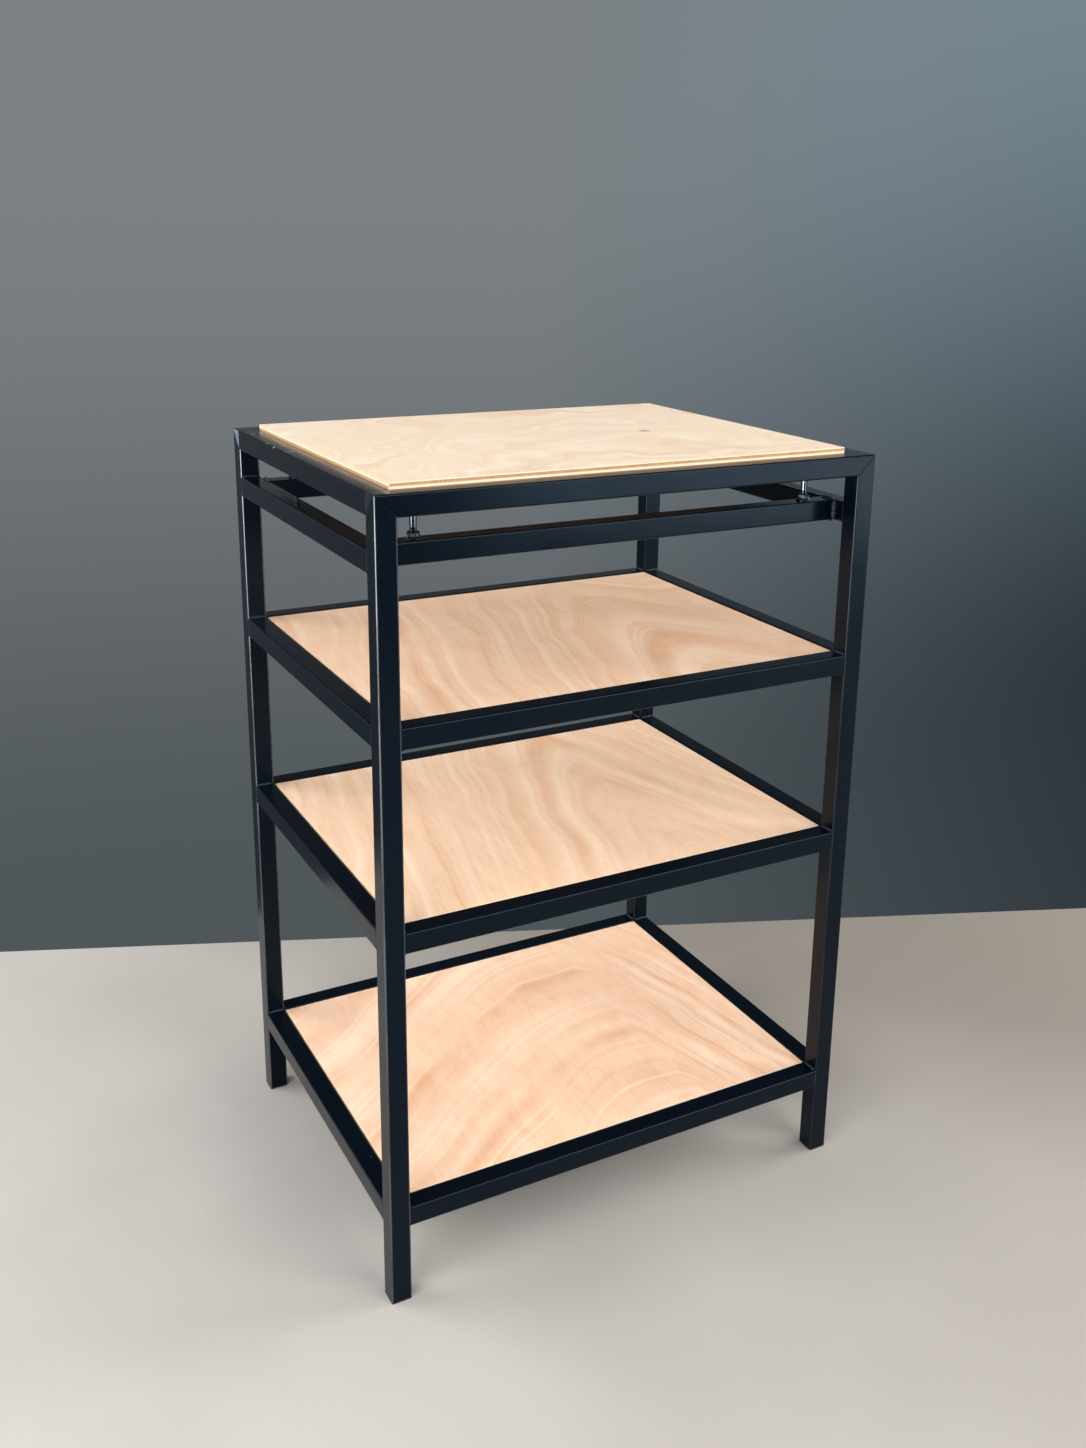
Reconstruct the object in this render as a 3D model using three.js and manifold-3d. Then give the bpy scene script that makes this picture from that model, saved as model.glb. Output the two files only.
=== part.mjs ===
// An audio equipment rack: a welded frame of square steel tube, three plywood shelves laid
// inside its rails, and a plywood top board that floats in the frame's mouth on four
// adjustable spikes. Millimetres, +Z up, origin on the floor under the middle of the rack,
// front towards -Y.

import * as THREE from "three";
import { mergeVertices } from "three/addons/utils/BufferGeometryUtils.js";
import Module from "manifold-3d";

const wasm = await Module();
wasm.setup();

// Outline of the frame
const WIDTH = 636;
const DEPTH = 500;

// Clear heights, from the floor up: each is free space between two tubes
const FLOOR_CLEARANCE = 100;
const LOWER_BAY = 325;
const MIDDLE_BAY = 212;
const UPPER_BAY = 163;
const LIFT_GAP = 35;

// Square tube
const TUBE = 25;
const TUBE_WALL = 1.5;
const TUBE_CORNER_RADIUS = 2;
const TUBE_BORE_RADIUS = 0.5;
const MITRE_SEAM = 0.2;

// End plugs of the legs
const PLUG_FLANGE = 2;
const PLUG_DEPTH = 18;
const PLUG_SIDE = 2;
const PLUG_RIB_THICKNESS = 1.2;
const PLUG_RIB_HEIGHT = 1;
const PLUG_CLEARANCE = 0.3;
const PLUG_RIBS = 4;

// Plywood boards
const BOARD_THICKNESS = 12;
const BOARD_CLEARANCE = 1.5;
const BOARD_ARRIS = 0.5;
const SHELF_RECESS = 1;
const TOP_BOARD_PROUD = 6.5;

// Welded tabs that carry the shelves
const TAB_LENGTH = 36;
const TAB_WIDTH = 20;
const TAB_THICKNESS = 3;
const TAB_CORNER_RADIUS = 5;
const TAB_FROM_LEG = 30;

// Rails across the lift frame, and where the spikes stand on them
const CROSS_RAIL_SETBACK = 16;
const SPIKE_FROM_SIDE_RAIL = 38;

// M8 spike
const SPIKE_DIAMETER = 8;
const SPIKE_POINT_LENGTH = 6;
const SPIKE_TIP_DIAMETER = 1.6;
const SPIKE_END_CHAMFER = 1;
const SPIKE_TAIL = 14;
const SPIKE_HOLE_DIAMETER = 9;

// M8 hexagon nut with flange
const NUT_HEIGHT = 8;
const NUT_ACROSS_FLATS = 13;
const NUT_FLANGE_DIAMETER = 17.9;
const NUT_FLANGE_EDGE = 1.2;
const NUT_FLANGE_SLOPE = 1.6;
const NUT_CHAMFER = 1;
const NUT_RUNNING_CLEARANCE = 0.05;

// How far a cutting solid runs past the face that it cuts
const CUT_OVERRUN = 2;

// Sides of a round piece, and steps of a rounded corner
const ROUND_SIDES = 24;
const CORNER_STEPS = 2;
const HEXAGON_SIDES = 6;

// Heights worked out from the clear heights; each is the top of a ring of rails
const LOWER_RAIL_TOP = FLOOR_CLEARANCE + TUBE;
const MIDDLE_RAIL_TOP = LOWER_RAIL_TOP + LOWER_BAY + TUBE;
const UPPER_RAIL_TOP = MIDDLE_RAIL_TOP + MIDDLE_BAY + TUBE;
const LIFT_RAIL_TOP = UPPER_RAIL_TOP + UPPER_BAY + TUBE;
const HEIGHT = LIFT_RAIL_TOP + LIFT_GAP + TUBE;
const TOP_BOARD_UNDERSIDE = HEIGHT + TOP_BOARD_PROUD - BOARD_THICKNESS;
const SPIKE_FOOT = LIFT_RAIL_TOP - TUBE_WALL - SPIKE_TAIL;

// The frame's open inside, and the axes of its corner tubes
const HALF_TUBE = TUBE / 2;
const INNER_WIDTH = WIDTH - 2 * TUBE;
const INNER_DEPTH = DEPTH - 2 * TUBE;
const LEG_X = WIDTH / 2 - HALF_TUBE;
const LEG_Y = DEPTH / 2 - HALF_TUBE;
const CROSS_RAIL_Y = INNER_DEPTH / 2 - CROSS_RAIL_SETBACK - HALF_TUBE;
const SPIKE_X = INNER_WIDTH / 2 - SPIKE_FROM_SIDE_RAIL;

const SIDES = [["left", -1], ["right", 1]];
const ENDS = [["front", -1], ["back", 1]];
const SHELVES = [["lower", LOWER_RAIL_TOP], ["middle", MIDDLE_RAIL_TOP], ["upper", UPPER_RAIL_TOP]];

const rack = new THREE.Group();

// Materials

function standard(color, roughness, metalness) {
  return new THREE.MeshStandardMaterial({ color, roughness, metalness });
}

function powderCoatedSteel() {
  return standard(0x161b21, 0.38, 0);
}

function beechPlywood() {
  return standard(0xe9c3a1, 0.6, 0);
}

function zincPlatedSteel() {
  return standard(0xb4b8bc, 0.32, 1);
}

function blackOxideSteel() {
  return standard(0x1d2023, 0.4, 1);
}

function blackPolyethylene() {
  return standard(0x121416, 0.55, 0);
}

// Solids: a closed three.js geometry becomes a solid to cut and join, and back

function solidOf(geometry) {
  const bare = geometry.clone();
  bare.deleteAttribute("normal");
  bare.deleteAttribute("uv");
  const merged = mergeVertices(bare);
  const vertProperties = new Float32Array(merged.attributes.position.array);
  const triVerts = new Uint32Array(merged.index.array);
  return new wasm.Manifold(new wasm.Mesh({ numProp: 3, vertProperties, triVerts }));
}

function geometryOf(solid) {
  const mesh = solid.getMesh();
  const geometry = new THREE.BufferGeometry();
  geometry.setAttribute("position", new THREE.BufferAttribute(mesh.vertProperties, 3));
  geometry.setIndex(new THREE.BufferAttribute(mesh.triVerts, 1));
  geometry.computeVertexNormals();
  return geometry;
}

// Adds a named piece to the rack at a place

function place(name, geometry, material, x, y, z) {
  const mesh = new THREE.Mesh(geometry, material);
  mesh.name = name;
  mesh.position.set(x, y, z);
  rack.add(mesh);
  return mesh;
}

// A square outline with rounded corners, drawn anticlockwise round the origin

function roundedSquare(outline, half, radius) {
  const centre = half - radius;
  const quarter = Math.PI / 2;
  outline.absarc(centre, centre, radius, 0, quarter, false);
  outline.absarc(-centre, centre, radius, quarter, 2 * quarter, false);
  outline.absarc(-centre, -centre, radius, 2 * quarter, 3 * quarter, false);
  outline.absarc(centre, -centre, radius, 3 * quarter, 4 * quarter, false);
  outline.closePath();
  return outline;
}

// A square ring or plate of a given height, standing on z = 0

function squareRing(half, radius, boreHalf, boreRadius, height) {
  const shape = roundedSquare(new THREE.Shape(), half, radius);
  if (boreHalf > 0) {
    shape.holes.push(roundedSquare(new THREE.Path(), boreHalf, boreRadius));
  }
  return new THREE.ExtrudeGeometry(shape, {
    depth: height,
    bevelEnabled: false,
    curveSegments: CORNER_STEPS,
  });
}

// A length of square tube along z, with its middle at the origin

function tube(length) {
  const geometry = squareRing(
    HALF_TUBE, TUBE_CORNER_RADIUS, HALF_TUBE - TUBE_WALL, TUBE_BORE_RADIUS, length);
  geometry.translate(0, 0, -length / 2);
  return geometry;
}

// Cuts one end of a tube to 45 degrees: the wall on longSide of x keeps its length, less
// the seam, and the wall across from it is shorter by the tube's own width

function mitre(geometry, end, longSide) {
  const points = geometry.attributes.position;
  for (let i = 0; i < points.count; i += 1) {
    if (points.getZ(i) * end > 0) {
      const drop = HALF_TUBE - points.getX(i) * longSide + MITRE_SEAM / 2;
      points.setZ(i, points.getZ(i) - end * drop);
    }
  }
  return geometry;
}

// Legs: full height, mitred at the top towards the front and back rails

function leg(name, sideX, sideY) {
  const length = HEIGHT - PLUG_FLANGE;
  const geometry = mitre(tube(length), 1, sideX);
  place(name, geometry, powderCoatedSteel(), sideX * LEG_X, sideY * LEG_Y, PLUG_FLANGE + length / 2);
}

// End plug of a leg: a flange under the tube's end, and a hollow ribbed stem inside it

function plugGeometry() {
  const ribHalf = HALF_TUBE - TUBE_WALL - PLUG_CLEARANCE;
  const stemHalf = ribHalf - PLUG_RIB_HEIGHT;
  const boreHalf = stemHalf - PLUG_SIDE;
  const boreRadius = TUBE_BORE_RADIUS;
  const flange = squareRing(HALF_TUBE, TUBE_CORNER_RADIUS, 0, 0, PLUG_FLANGE);
  const stem = squareRing(stemHalf, TUBE_CORNER_RADIUS, boreHalf, boreRadius, PLUG_FLANGE + PLUG_DEPTH);
  let plug = solidOf(flange).add(solidOf(stem));
  const pitch = PLUG_DEPTH / PLUG_RIBS;
  for (let i = 0; i < PLUG_RIBS; i += 1) {
    const rib = squareRing(ribHalf, TUBE_CORNER_RADIUS, boreHalf, boreRadius, PLUG_RIB_THICKNESS);
    rib.translate(0, 0, PLUG_FLANGE + pitch * (i + 1) - PLUG_RIB_THICKNESS);
    plug = plug.add(solidOf(rib));
  }
  return geometryOf(plug);
}

function plug(name, sideX, sideY) {
  place(name, plugGeometry(), blackPolyethylene(), sideX * LEG_X, sideY * LEG_Y, 0);
}

// Rails: lengths of tube laid along X or along Y, with their top faces at a height

function railAlongX(name, geometry, y, top) {
  const mesh = place(name, geometry, powderCoatedSteel(), 0, y, top - HALF_TUBE);
  mesh.rotation.y = Math.PI / 2;
}

function railAlongY(name, geometry, x, top) {
  const mesh = place(name, geometry, powderCoatedSteel(), x, 0, top - HALF_TUBE);
  mesh.rotation.x = -Math.PI / 2;
}

// The front and back top rails run the full width and are mitred to the legs at both ends

function mitredTopRail(name, sideY) {
  const geometry = mitre(mitre(tube(WIDTH), 1, -1), -1, -1);
  railAlongX(name, geometry, sideY * LEG_Y, HEIGHT);
}

function sideRail(name, sideX, top) {
  railAlongY(name, tube(INNER_DEPTH), sideX * LEG_X, top);
}

function shelfRailAcross(name, sideY, top) {
  railAlongX(name, tube(INNER_WIDTH), sideY * LEG_Y, top);
}

// The rails across the lift frame have a clearance hole for each spike, through the top wall

function crossRail(name, sideY) {
  const body = tube(INNER_WIDTH);
  body.rotateY(Math.PI / 2);
  let rail = solidOf(body);
  const depth = TUBE_WALL + 2 * CUT_OVERRUN;
  for (const [, sideX] of SIDES) {
    const drill = new THREE.CylinderGeometry(
      SPIKE_HOLE_DIAMETER / 2, SPIKE_HOLE_DIAMETER / 2, depth, ROUND_SIDES);
    drill.rotateX(Math.PI / 2);
    drill.translate(sideX * SPIKE_X, 0, HALF_TUBE - TUBE_WALL / 2);
    rail = rail.subtract(solidOf(drill));
  }
  place(name, geometryOf(rail), powderCoatedSteel(), 0, sideY * CROSS_RAIL_Y, LIFT_RAIL_TOP - HALF_TUBE);
}

// Plywood board with a small arris all round, standing on z = 0

function boardGeometry() {
  const halfWidth = INNER_WIDTH / 2 - BOARD_CLEARANCE - BOARD_ARRIS;
  const halfDepth = INNER_DEPTH / 2 - BOARD_CLEARANCE - BOARD_ARRIS;
  const outline = new THREE.Shape();
  outline.moveTo(-halfWidth, -halfDepth);
  outline.lineTo(halfWidth, -halfDepth);
  outline.lineTo(halfWidth, halfDepth);
  outline.lineTo(-halfWidth, halfDepth);
  outline.closePath();
  const geometry = new THREE.ExtrudeGeometry(outline, {
    depth: BOARD_THICKNESS - 2 * BOARD_ARRIS,
    bevelEnabled: true,
    bevelThickness: BOARD_ARRIS,
    bevelSize: BOARD_ARRIS,
    bevelSegments: 1,
  });
  geometry.translate(0, 0, BOARD_ARRIS);
  return geometry;
}

function board(name, underside) {
  place(name, boardGeometry(), beechPlywood(), 0, 0, underside);
}

// Shelf tab: a flat bar welded to a side rail's inner face, rounded at its free corners.
// Its own frame has x pointing into the rack and y along the rail.

function tabGeometry() {
  const half = TAB_LENGTH / 2;
  const radius = TAB_CORNER_RADIUS;
  const quarter = Math.PI / 2;
  const outline = new THREE.Shape();
  outline.moveTo(0, -half);
  outline.absarc(TAB_WIDTH - radius, radius - half, radius, -quarter, 0, false);
  outline.absarc(TAB_WIDTH - radius, half - radius, radius, 0, quarter, false);
  outline.lineTo(0, half);
  outline.closePath();
  return new THREE.ExtrudeGeometry(outline, {
    depth: TAB_THICKNESS,
    bevelEnabled: false,
    curveSegments: CORNER_STEPS,
  });
}

function tab(name, sideX, sideY, shelfUnderside) {
  const x = sideX * (INNER_WIDTH / 2);
  const y = sideY * (INNER_DEPTH / 2 - TAB_FROM_LEG - TAB_LENGTH / 2);
  const mesh = place(name, tabGeometry(), powderCoatedSteel(), x, y, shelfUnderside - TAB_THICKNESS);
  mesh.rotation.z = sideX > 0 ? Math.PI : 0;
}

// A profile of radius and height, turned round the z axis

function turned(profile) {
  const geometry = new THREE.LatheGeometry(profile, ROUND_SIDES);
  geometry.rotateX(Math.PI / 2);
  return geometry;
}

// Spike: an M8 rod with a cone point that carries the top board, standing on z = 0

function spikeGeometry() {
  const radius = SPIKE_DIAMETER / 2;
  const length = TOP_BOARD_UNDERSIDE - SPIKE_FOOT;
  return turned([
    new THREE.Vector2(0, 0),
    new THREE.Vector2(radius - SPIKE_END_CHAMFER, 0),
    new THREE.Vector2(radius, SPIKE_END_CHAMFER),
    new THREE.Vector2(radius, length - SPIKE_POINT_LENGTH),
    new THREE.Vector2(SPIKE_TIP_DIAMETER / 2, length),
    new THREE.Vector2(0, length),
  ]);
}

function spike(name, x, y) {
  place(name, spikeGeometry(), zincPlatedSteel(), x, y, SPIKE_FOOT);
}

// Flange nut: a chamfered hexagon on a sloping round flange, bored for the spike, on z = 0

function hexagonGeometry(cornerRadius) {
  const outline = new THREE.Shape();
  for (let i = 0; i < HEXAGON_SIDES; i += 1) {
    const angle = (2 * Math.PI * i) / HEXAGON_SIDES;
    const x = cornerRadius * Math.cos(angle);
    const y = cornerRadius * Math.sin(angle);
    if (i === 0) {
      outline.moveTo(x, y);
    } else {
      outline.lineTo(x, y);
    }
  }
  outline.closePath();
  return new THREE.ExtrudeGeometry(outline, { depth: NUT_HEIGHT, bevelEnabled: false });
}

function nutGeometry() {
  const flatRadius = NUT_ACROSS_FLATS / 2;
  const cornerRadius = flatRadius / Math.cos(Math.PI / HEXAGON_SIDES);
  const flangeRadius = NUT_FLANGE_DIAMETER / 2;
  const boreRadius = SPIKE_DIAMETER / 2 + NUT_RUNNING_CLEARANCE;
  const chamferCone = turned([
    new THREE.Vector2(0, 0),
    new THREE.Vector2(cornerRadius + NUT_CHAMFER, 0),
    new THREE.Vector2(cornerRadius + NUT_CHAMFER, NUT_HEIGHT - 2 * NUT_CHAMFER),
    new THREE.Vector2(cornerRadius - NUT_CHAMFER, NUT_HEIGHT),
    new THREE.Vector2(0, NUT_HEIGHT),
  ]);
  const flange = turned([
    new THREE.Vector2(0, 0),
    new THREE.Vector2(flangeRadius, 0),
    new THREE.Vector2(flangeRadius, NUT_FLANGE_EDGE),
    new THREE.Vector2(flatRadius, NUT_FLANGE_EDGE + NUT_FLANGE_SLOPE),
    new THREE.Vector2(0, NUT_FLANGE_EDGE + NUT_FLANGE_SLOPE),
  ]);
  const bore = new THREE.CylinderGeometry(
    boreRadius, boreRadius, NUT_HEIGHT + 2 * CUT_OVERRUN, ROUND_SIDES);
  bore.rotateX(Math.PI / 2);
  bore.translate(0, 0, NUT_HEIGHT / 2);
  const hexagon = solidOf(hexagonGeometry(cornerRadius)).intersect(solidOf(chamferCone));
  return geometryOf(hexagon.add(solidOf(flange)).subtract(solidOf(bore)));
}

function spikeNut(name, x, y) {
  place(name, nutGeometry(), blackOxideSteel(), x, y, LIFT_RAIL_TOP);
}

// The frame

for (const [end, sideY] of ENDS) {
  for (const [side, sideX] of SIDES) {
    leg(`leg_${end}_${side}`, sideX, sideY);
    plug(`plug_${end}_${side}`, sideX, sideY);
  }
  mitredTopRail(`top_rail_${end}`, sideY);
  crossRail(`cross_rail_${end}`, sideY);
}

for (const [side, sideX] of SIDES) {
  sideRail(`top_rail_${side}`, sideX, HEIGHT);
  sideRail(`lift_rail_${side}`, sideX, LIFT_RAIL_TOP);
}

// The three shelves

for (const [shelf, top] of SHELVES) {
  const underside = top - SHELF_RECESS - BOARD_THICKNESS;
  for (const [end, sideY] of ENDS) {
    shelfRailAcross(`${shelf}_rail_${end}`, sideY, top);
    for (const [side, sideX] of SIDES) {
      tab(`${shelf}_tab_${end}_${side}`, sideX, sideY, underside);
    }
  }
  for (const [side, sideX] of SIDES) {
    sideRail(`${shelf}_rail_${side}`, sideX, top);
  }
  board(`${shelf}_board`, underside);
}

// The top board on its spikes

board("top_board", TOP_BOARD_UNDERSIDE);
for (const [end, sideY] of ENDS) {
  for (const [side, sideX] of SIDES) {
    spike(`spike_${end}_${side}`, sideX * SPIKE_X, sideY * CROSS_RAIL_Y);
    spikeNut(`spike_nut_${end}_${side}`, sideX * SPIKE_X, sideY * CROSS_RAIL_Y);
  }
}

export default rack;
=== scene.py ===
# %% [markdown]
# # An audio equipment rack in welded tube and plywood
#
# The rack is a frame of 25 mm square steel tube with three plywood shelves. A fourth board
# floats in the mouth of the frame, on four pointed rods that turn up and down.
#
# A measured model, which the first cell loads, already fixes the sizes. Everything made here goes
# exactly where it says, in metres, with Z up and the floor at zero.

# %% Load the measured model
import math
import random
from functools import partial

import bmesh
import bpy
from bmesh.types import BMEdge, BMVert
from mathutils import Matrix, Vector


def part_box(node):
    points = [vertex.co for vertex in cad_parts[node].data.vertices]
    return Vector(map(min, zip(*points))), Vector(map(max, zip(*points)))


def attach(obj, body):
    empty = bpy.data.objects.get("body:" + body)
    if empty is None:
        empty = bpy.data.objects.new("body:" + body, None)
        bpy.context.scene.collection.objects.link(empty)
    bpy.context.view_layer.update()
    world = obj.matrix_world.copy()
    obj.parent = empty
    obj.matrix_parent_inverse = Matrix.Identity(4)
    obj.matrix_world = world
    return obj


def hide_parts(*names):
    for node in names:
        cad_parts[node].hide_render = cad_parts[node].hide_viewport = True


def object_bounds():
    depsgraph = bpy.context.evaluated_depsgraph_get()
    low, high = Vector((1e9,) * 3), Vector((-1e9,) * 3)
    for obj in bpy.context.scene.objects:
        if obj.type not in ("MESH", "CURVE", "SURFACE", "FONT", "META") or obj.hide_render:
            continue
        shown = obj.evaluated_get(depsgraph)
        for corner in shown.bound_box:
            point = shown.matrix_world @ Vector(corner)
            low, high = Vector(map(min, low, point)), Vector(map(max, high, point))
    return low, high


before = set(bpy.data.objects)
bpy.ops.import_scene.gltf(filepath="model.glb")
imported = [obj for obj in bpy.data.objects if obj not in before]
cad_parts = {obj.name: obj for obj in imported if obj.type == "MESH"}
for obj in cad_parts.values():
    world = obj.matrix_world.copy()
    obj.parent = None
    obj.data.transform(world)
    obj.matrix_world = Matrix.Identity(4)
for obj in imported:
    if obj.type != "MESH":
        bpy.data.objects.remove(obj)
cad_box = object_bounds()
print("size in mm:", [round((high - low) * 1000, 1) for low, high in zip(*cad_box)])

# %% [markdown]
# ## Two small tools for the materials
#
# Colours are picked as hex values off a screen, and a renderer works in linear light, so one
# function turns the first into the second.
#
# Node trees take many short steps: add a node, set it, link it. One function does all three. Its
# `inputs` can be numbers, outputs, or whole nodes, which stand for their first output in use, and
# it tells them apart by itself.

# %% Colour and node helpers
MM = 0.001


def linear(hex_colour):
    """A hex colour such as "#c0ffee" as linear red, green, blue and alpha."""
    channels = [int(hex_colour[i:i + 2], 16) / 255 for i in (1, 3, 5)]
    return [c / 12.92 if c <= 0.04045 else ((c + 0.055) / 1.055) ** 2.4 for c in channels] + [1.0]


def add_node(tree, kind, inputs=None, **settings):
    """Adds a node, sets its properties, then sets or links its inputs."""
    made = tree.nodes.new("ShaderNode" + kind)
    for name, value in settings.items():
        setattr(made, name, value)
    for name, value in (inputs or {}).items():
        if isinstance(value, bpy.types.Node):
            value = next(output for output in value.outputs if output.enabled)
        if isinstance(value, bpy.types.NodeSocket):
            tree.links.new(value, made.inputs[name])
        else:
            made.inputs[name].default_value = value
    return made


def new_material(name):
    """An empty material, its own function that adds nodes, and the place on the object."""
    material = bpy.data.materials.new(name)
    material.use_nodes = True
    material.node_tree.nodes.clear()
    add = partial(add_node, material.node_tree)
    return material, add, add("TexCoord").outputs["Object"]


print("mid grey in linear light:", [round(c, 3) for c in linear("#808080")])

# %% [markdown]
# ## Black powder coat
#
# The frame is sprayed with dry polyester powder and baked. The powder flows into a tough satin
# skin, which shows three things up close: a fine "orange peel" ripple about 2 mm across, a
# thinner and shinier skin where it draws back from sharp edges, and a little dust.
#
# A flat black would look like a hole in the picture. Nearly all that the eye gets from a black
# part is its gloss, so the detail goes into roughness and bump, and only a little into colour.
# The ripple is two noise textures. The thin bright skin is a second shader, mixed in where an
# attribute called `edge` says so. The tubes will carry that on their rounded corners. They carry
# two more: `seam` on the bottom of their saw cuts, painted near black as shade in the groove, and
# `ground` where a grinder went over a weld and left the coat pale.

# %% Make the powder coat
RIPPLE = 2.2 * MM
SWELL = 26 * MM
SWELL_SHARE = 3.0
RIPPLE_HEIGHT = 0.012 * MM
SMEAR = 90 * MM
DUST_SPACING = 55 * MM
DUST_SIZE = 0.55 * MM
DUST_SHARE = 0.5
DUST = "#9a9892"
SCOURED = "#75828f"
PALE_MARK = "#9c9b97"
SEAM_SHADOW = "#010203"
# Each pale mark is the x and y of its middle and half its size along x and y, in millimetres.
PALE_MARKS = ((-310, 188.8, 2.6, 2.0), (-315.3, 112, 1.6, 2.6), (-316.7, 79.4, 1.4, 2.6),
         (-309, 40, 7.5, 1.1))
PALE_MARK_HEIGHT = 960
PALE_MARK_DEPTH = 3
FILM_ROUGHNESS = 0.20
THIN_ROUGHNESS = 0.28
WELD_LUMP = 0.25 * MM


def away_from(add, place, spot, size):
    """How far away a spot is, counted in its size along each axis. Both are in millimetres."""
    mapped = add("Mapping", {
        "Vector": place, "Scale": [1 / (along * MM) for along in size],
        "Location": [(0 - at) / along for at, along in zip(spot, size)]})
    return add("VectorMath", {0: mapped}, operation="LENGTH")


def pale_marks(add, place):
    """Where the coat of the left top rail is painted paler in small marks: 1 inside a mark, else
    0.
    """
    marks = None
    for x, y, half_x, half_y in PALE_MARKS:
        away = away_from(add, place, (x, y, PALE_MARK_HEIGHT), (half_x, half_y, PALE_MARK_DEPTH))
        mark = add("MapRange", {0: away, 1: 0.6, 2: 1.2, 3: 1.0, 4: 0.0})
        marks = add("Math", {0: mark, 1: marks}, operation="MAXIMUM") if marks else mark
    return marks


def powder_coat(name, deep, worn, roughness, lump=0.0):
    """Satin polyester powder over steel. lump adds a coarser height in metres, for welds."""
    material, add, place = new_material(name)
    edge, ground, seam = (
        add("Attribute", attribute_name=layer).outputs["Fac"]
        for layer in ("edge", "ground", "seam"))
    peel, swell, smear = (
        add("TexNoise", {"Vector": place, "Scale": 1 / size, "Detail": detail})
        for size, detail in ((RIPPLE, 2.0), (SWELL, 1.0), (SMEAR, 4.0)))
    height = add("Math", {0: swell, 1: SWELL_SHARE, 2: peel}, operation="MULTIPLY_ADD")
    bump = add("Bump", {"Height": height, "Distance": RIPPLE_HEIGHT + lump, "Strength": 1.0})
    rub = add("MapRange", {0: smear, 1: 0.38, 2: 0.55, 3: 0.6, 4: 1.0})
    wear = add("Math", {0: edge, 1: rub}, operation="MULTIPLY")

    specks = add("TexVoronoi", {"Vector": place, "Scale": 1 / DUST_SPACING})
    near = add("Math", {0: specks, 1: DUST_SIZE / DUST_SPACING}, operation="LESS_THAN")
    dust = add("Math", {0: near, 1: DUST_SHARE}, operation="MULTIPLY")
    scoured = add("MapRange", {0: peel, 1: 0.3, 2: 0.6, 3: 0.7, 4: 1.0})
    bare = add("Math", {0: ground, 1: scoured}, operation="MULTIPLY")
    colour = linear(deep)
    for share, over in (
            (dust, DUST), (bare, SCOURED), (pale_marks(add, place), PALE_MARK), (seam, SEAM_SHADOW)):
        colour = add("Mix", {0: share, 6: colour, 7: linear(over)}, data_type="RGBA")

    gloss = add("MapRange", {0: smear, 1: 0.3, 2: 0.7, 3: roughness - 0.04, 4: roughness + 0.05})
    matt = add("Math", {0: seam, 1: 0.6, 2: gloss}, operation="MULTIPLY_ADD", use_clamp=True)
    # The bluish specular tint is painted light: it gives every reflection in the coat the colour
    # of cool daylight.
    film = add("BsdfPrincipled", {
        "Base Color": colour, "Roughness": matt, "IOR": 1.5, "Normal": bump,
        "Specular IOR Level": 0.18, "Specular Tint": linear("#a0c2dc")})
    thin_film = add("BsdfPrincipled", {
        "Base Color": linear(worn), "Roughness": THIN_ROUGHNESS, "IOR": 1.5, "Normal": bump,
        "Specular IOR Level": 1.0})
    coat = add("MixShader", {0: wear, 1: film, 2: thin_film})
    add("OutputMaterial", {"Surface": coat})
    return material


satin_black = powder_coat("satin_black_powder_coat", "#040a12", "#20262c", FILM_ROUGHNESS)
weld_black = powder_coat(
    "powder_coat_over_weld", "#2a2d33", "#3a3e44", FILM_ROUGHNESS + 0.10, WELD_LUMP)
print("materials:", satin_black.name, weld_black.name)

# %% [markdown]
# ## Bright zinc, black oxide and polyethylene
#
# The rods are zinc plated and passivated: a bluish metal, still rather shiny. The nuts are
# blackened steel, a thin oxide that dulls the metal and keeps some oil. One roughness all over
# would look like a fresh mirror, so on both one noise moves colour and roughness together, as
# patches of grime do. The plugs under the legs are moulded polyethylene, soft and a little waxy.

# %% Make the small parts' materials
THREAD_GRIME = 2.5 * MM
OXIDE_MOTTLE = 1.2 * MM
GRIT_HEIGHT = 0.02 * MM
MOULD_TEXTURE = 0.8 * MM
MOULD_DEPTH = 0.04 * MM
SCUFFS_PER_METRE = 120.0


def small_metal(name, clean, dull, low_rough, high_rough, mottle):
    """A bare metal whose colour and roughness wander between two values."""
    material, add, place = new_material(name)
    patches, grit = (
        add("TexNoise", {"Vector": place, "Scale": share / mottle, "Detail": detail})
        for share, detail in ((1, 3.0), (3, 2.0)))
    blend = add("MapRange", {0: patches, 1: 0.35, 2: 0.65})
    colour = add("Mix", {0: blend, 6: linear(clean), 7: linear(dull)}, data_type="RGBA")
    rough = add("MapRange", {0: patches, 1: 0.3, 2: 0.7, 3: low_rough, 4: high_rough})
    bump = add("Bump", {"Height": grit, "Distance": GRIT_HEIGHT, "Strength": 0.6})
    metal = add("BsdfPrincipled", {
        "Base Color": colour, "Metallic": 1.0, "Roughness": rough, "Normal": bump})
    add("OutputMaterial", {"Surface": metal})
    return material


def moulded_plastic(name, base, scuffed):
    """Polyethylene with a fine spark-eroded mould texture and paler scuffs."""
    material, add, place = new_material(name)
    spark = add("TexNoise", {"Vector": place, "Scale": 1 / MOULD_TEXTURE, "Detail": 3.0})
    scuff = add("TexNoise", {"Vector": place, "Scale": SCUFFS_PER_METRE, "Detail": 5.0})
    worn = add("MapRange", {0: scuff, 1: 0.5, 2: 0.75})
    colour = add("Mix", {0: worn, 6: linear(base), 7: linear(scuffed)}, data_type="RGBA")
    rough = add("MapRange", {0: scuff, 3: 0.48, 4: 0.66})
    bump = add("Bump", {"Height": spark, "Distance": MOULD_DEPTH, "Strength": 0.7})
    plastic = add("BsdfPrincipled", {
        "Base Color": colour, "Roughness": rough, "IOR": 1.51, "Normal": bump})
    add("OutputMaterial", {"Surface": plastic})
    return material


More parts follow.
